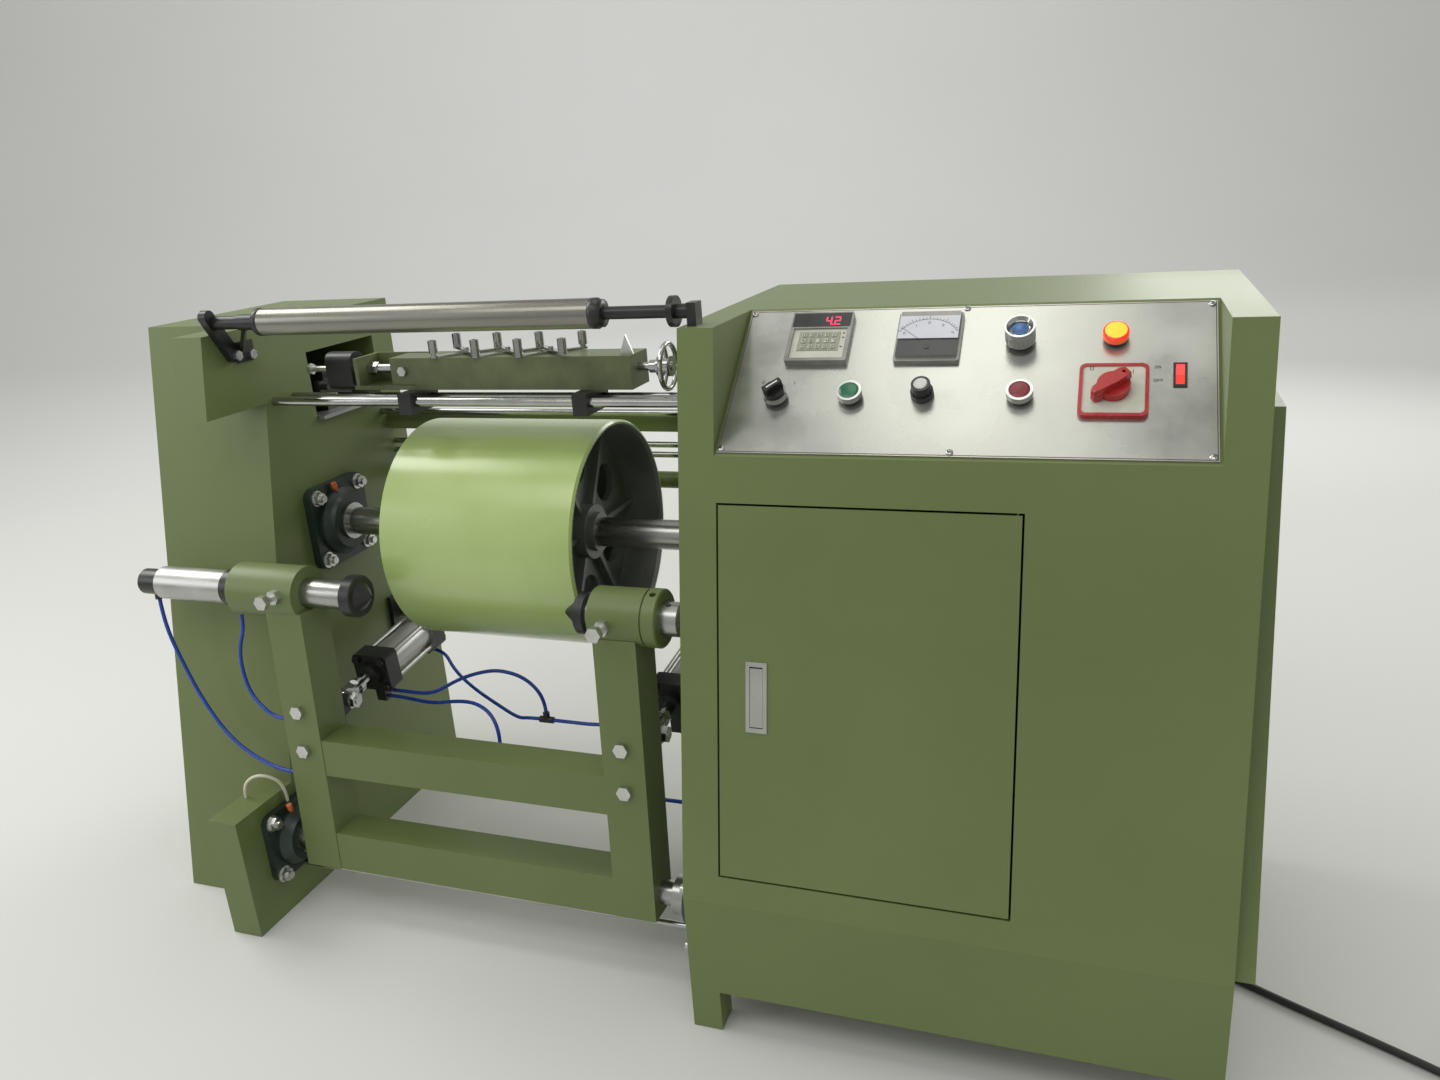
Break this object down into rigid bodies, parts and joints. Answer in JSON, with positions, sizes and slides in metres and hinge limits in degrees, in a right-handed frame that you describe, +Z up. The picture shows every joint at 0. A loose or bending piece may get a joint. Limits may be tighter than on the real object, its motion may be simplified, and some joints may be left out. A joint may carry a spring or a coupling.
{
  "type": "warping machine",
  "caption": "Narrow-web warping machine: control cabinet, side frame, winding drum, swinging beam clamp, guide roll and traversing reed carriage.",
  "frame": {"origin": "floor level under the middle of the machine without its power cord", "axes": "+X to the right seen from the operator's side, +Y to the rear, +Z up"},
  "size_m": [2.0647, 0.577, 0.95],
  "materials": {
    "machine_paint": "satin grey-green machine enamel",
    "stainless": "brushed stainless sheet",
    "chrome": "bright chrome",
    "bearing_iron": "dark green-black cast housing, zinc bolts",
    "dark_steel": "black enamel, slightly worn",
    "black_plastic": "black moulded plastic",
    "lamp_red": "lit red lens in a metal ring",
    "red_plastic": "red moulded plastic",
    "cord_black": "black rubber cord",
    "green_plastic": "green push button",
    "blue_metal": "blue cap in a bright ring",
    "steel": "turned and ground steel",
    "anodised": "clear anodised profile with black end caps",
    "drum_paint": "light yellow-green gloss on a grey steel inside",
    "hose_blue": "blue polyurethane air hose",
    "cable_cream": "cream cable"
  },
  "bodies": {
    "base": {"cabinet_shell": "machine_paint", "console_plate": "stainless", "belt_guard": "machine_paint", "left_side_frame": "machine_paint", "left_column_cover": "machine_paint", "rear_tie_beams": "machine_paint", "guide_rods": "chrome", "flange_bearings": "bearing_iron", "roll_bracket": "dark_steel", "traverse_drive": "dark_steel", "cylinder_mounts": "dark_steel", "preset_counter": "black_plastic", "panel_meter": "black_plastic", "signal_lamp": "lamp_red", "button_bezels": "chrome", "isolator_plate": "red_plastic", "wall_hose": "hose_blue", "sensor_cable": "cable_cream", "power_cord": "cord_black", "power_coil": "cord_black", "power_plug": "cord_black"},
    "door": {"cabinet_door": "machine_paint", "latch_case": "stainless"},
    "latch": {"latch_paddle": "stainless"},
    "green": {"green_button": "green_plastic"},
    "red": {"red_button": "red_plastic"},
    "blue": {"blue_button": "blue_metal"},
    "selector": {"selector_knob": "black_plastic"},
    "speed": {"speed_knob": "black_plastic"},
    "isolator": {"isolator_knob": "red_plastic"},
    "rocker": {"rocker_switch": "red_plastic"},
    "swing": {"swing_frame": "machine_paint", "swing_pivots": "steel", "clamp_cylinder": "anodised", "clamp_hose_a": "hose_blue", "clamp_hose_b": "hose_blue"},
    "quill_left": {"left_quill": "steel"},
    "center_left": {"left_center": "dark_steel"},
    "quill_right": {"right_quill": "steel"},
    "center_right": {"right_center": "dark_steel"},
    "drum": {"drum": "drum_paint", "drum_shaft": "steel"},
    "push_left": {"left_cylinder": "anodised", "rear_port_hose": "hose_blue", "front_port_hose": "hose_blue", "tee_hose": "hose_blue", "hose_tee": "black_plastic"},
    "rod_left": {"left_rod": "chrome"},
    "push_right": {"right_cylinder": "anodised"},
    "rod_right": {"right_rod": "chrome"},
    "roll": {"guide_roll": "steel"},
    "carriage": {"reed_beam": "machine_paint", "slide_blocks": "dark_steel"},
    "wheel": {"handwheel": "chrome"},
    "link_a1": {"reed_link_a1": "chrome"},
    "link_b1": {"reed_link_b1": "chrome"},
    "link_a2": {"reed_link_a2": "chrome"},
    "link_b2": {"reed_link_b2": "chrome"},
    "link_a3": {"reed_link_a3": "chrome"},
    "link_b3": {"reed_link_b3": "chrome"}
  },
  "joints": [
    {"name": "drum_spin", "type": "hinge", "parent": "base", "child": "drum", "pos_m": [-0.2235, 0.0565, 0.577], "axis": [1, 0, 0], "continuous": true},
    {"name": "roll_spin", "type": "hinge", "parent": "base", "child": "roll", "pos_m": [-0.2335, -0.1285, 0.931], "axis": [1, 0, 0], "continuous": true},
    {"name": "frame_swing", "type": "hinge", "parent": "base", "child": "swing", "pos_m": [-0.2235, -0.1835, 0.124], "axis": [1, 0, 0], "range_deg": [0, 20]},
    {"name": "push_tilt_left", "type": "hinge", "parent": "base", "child": "push_left", "pos_m": [-0.5045, 0.1665, 0.358], "axis": [-1, 0, 0], "range_deg": [0, 3.9]},
    {"name": "push_rod_left", "type": "slide", "parent": "push_left", "child": "rod_left", "axis": [0, -0.9954, -0.096], "range_m": [0, 0.0747]},
    {"name": "push_tilt_right", "type": "hinge", "parent": "base", "child": "push_right", "pos_m": [0.0285, 0.1665, 0.358], "axis": [-1, 0, 0], "range_deg": [0, 3.9]},
    {"name": "push_rod_right", "type": "slide", "parent": "push_right", "child": "rod_right", "axis": [0, -0.9954, -0.096], "range_m": [0, 0.0747]},
    {"name": "clamp_slide_left", "type": "slide", "parent": "swing", "child": "quill_left", "axis": [1, 0, 0], "range_m": [-0.045, 0.015]},
    {"name": "center_spin_left", "type": "hinge", "parent": "quill_left", "child": "center_left", "pos_m": [-0.3745, -0.16181, 0.53793], "axis": [1, 0, 0], "continuous": true},
    {"name": "clamp_slide_right", "type": "slide", "parent": "swing", "child": "quill_right", "axis": [-1, 0, 0], "range_m": [-0.008, 0.03]},
    {"name": "center_spin_right", "type": "hinge", "parent": "quill_right", "child": "center_right", "pos_m": [-0.0255, -0.16181, 0.53793], "axis": [1, 0, 0], "continuous": true},
    {"name": "carriage_slide", "type": "slide", "parent": "base", "child": "carriage", "axis": [1, 0, 0], "range_m": [-0.015, 0.015]},
    {"name": "wheel_turn", "type": "hinge", "parent": "carriage", "child": "wheel", "pos_m": [-0.1635, 0.0165, 0.838], "axis": [1, 0, 0], "range_deg": [-360, 360]},
    {"name": "link_a1_turn", "type": "hinge", "parent": "carriage", "child": "link_a1", "pos_m": [-0.2665, 0.0185, 0.86], "axis": [0, 0, 1], "range_deg": [-8.1, 8.1]},
    {"name": "link_b1_turn", "type": "hinge", "parent": "carriage", "child": "link_b1", "pos_m": [-0.2665, 0.0185, 0.863], "axis": [0, 0, 1], "range_deg": [-8.1, 8.1]},
    {"name": "link_b2_turn", "type": "hinge", "parent": "link_a1", "child": "link_b2", "pos_m": [-0.23165, 0.051, 0.863], "axis": [0, 0, 1], "range_deg": [-16.2, 16.2]},
    {"name": "link_a2_turn", "type": "hinge", "parent": "link_b1", "child": "link_a2", "pos_m": [-0.23165, -0.014, 0.86], "axis": [0, 0, 1], "range_deg": [-16.2, 16.2]},
    {"name": "link_a3_turn", "type": "hinge", "parent": "link_b2", "child": "link_a3", "pos_m": [-0.16195, -0.014, 0.86], "axis": [0, 0, 1], "range_deg": [-16.2, 16.2]},
    {"name": "link_b3_turn", "type": "hinge", "parent": "link_a2", "child": "link_b3", "pos_m": [-0.16195, 0.051, 0.863], "axis": [0, 0, 1], "range_deg": [-16.2, 16.2]},
    {"name": "door_hinge", "type": "hinge", "parent": "base", "child": "door", "pos_m": [0.5385, -0.2323, 0.47329], "axis": [0, 0.1851, 0.9827], "range_deg": [0, 110]},
    {"name": "latch_lift", "type": "hinge", "parent": "door", "child": "latch", "pos_m": [0.236, -0.22817, 0.50871], "axis": [-1, 0, 0], "range_deg": [0, 35]},
    {"name": "green_press", "type": "slide", "parent": "base", "child": "green", "axis": [0, 0.6334, -0.7738], "range_m": [0, 0.0025], "stiffness_N_per_m": 400, "springref_m": -0.002},
    {"name": "red_press", "type": "slide", "parent": "base", "child": "red", "axis": [0, 0.6334, -0.7738], "range_m": [0, 0.0025], "stiffness_N_per_m": 400, "springref_m": -0.002},
    {"name": "blue_press", "type": "slide", "parent": "base", "child": "blue", "axis": [0, 0.6334, -0.7738], "range_m": [0, 0.0025], "stiffness_N_per_m": 400, "springref_m": -0.002},
    {"name": "selector_turn", "type": "hinge", "parent": "base", "child": "selector", "pos_m": [0.245, -0.12193, 0.8274], "axis": [0, -0.6334, 0.7738], "range_deg": [-90, 0]},
    {"name": "speed_turn", "type": "hinge", "parent": "base", "child": "speed", "pos_m": [0.4215, -0.11729, 0.8312], "axis": [0, -0.6334, 0.7738], "range_deg": [-150, 150]},
    {"name": "isolator_turn", "type": "hinge", "parent": "base", "child": "isolator", "pos_m": [0.6318, -0.11419, 0.83373], "axis": [0, -0.6334, 0.7738], "range_deg": [0, 90]},
    {"name": "rocker_tip", "type": "hinge", "parent": "base", "child": "rocker", "pos_m": [0.7005, -0.0896, 0.84158], "axis": [-1, 0, 0], "range_deg": [0, 16]}
  ],
  "couplings": [
    {"joint": "push_tilt_left", "follows": "frame_swing", "ratio": 0.19097},
    {"joint": "push_rod_left", "follows": "frame_swing", "m_per_rad": 0.21354},
    {"joint": "push_tilt_right", "follows": "frame_swing", "ratio": 0.19097},
    {"joint": "push_rod_right", "follows": "frame_swing", "m_per_rad": 0.21354},
    {"joint": "link_a1_turn", "follows": "wheel_turn", "ratio": 0.022222},
    {"joint": "link_b1_turn", "follows": "wheel_turn", "ratio": -0.022222},
    {"joint": "link_b2_turn", "follows": "wheel_turn", "ratio": -0.044444},
    {"joint": "link_a2_turn", "follows": "wheel_turn", "ratio": 0.044444},
    {"joint": "link_a3_turn", "follows": "wheel_turn", "ratio": 0.044444},
    {"joint": "link_b3_turn", "follows": "wheel_turn", "ratio": -0.044444}
  ]
}
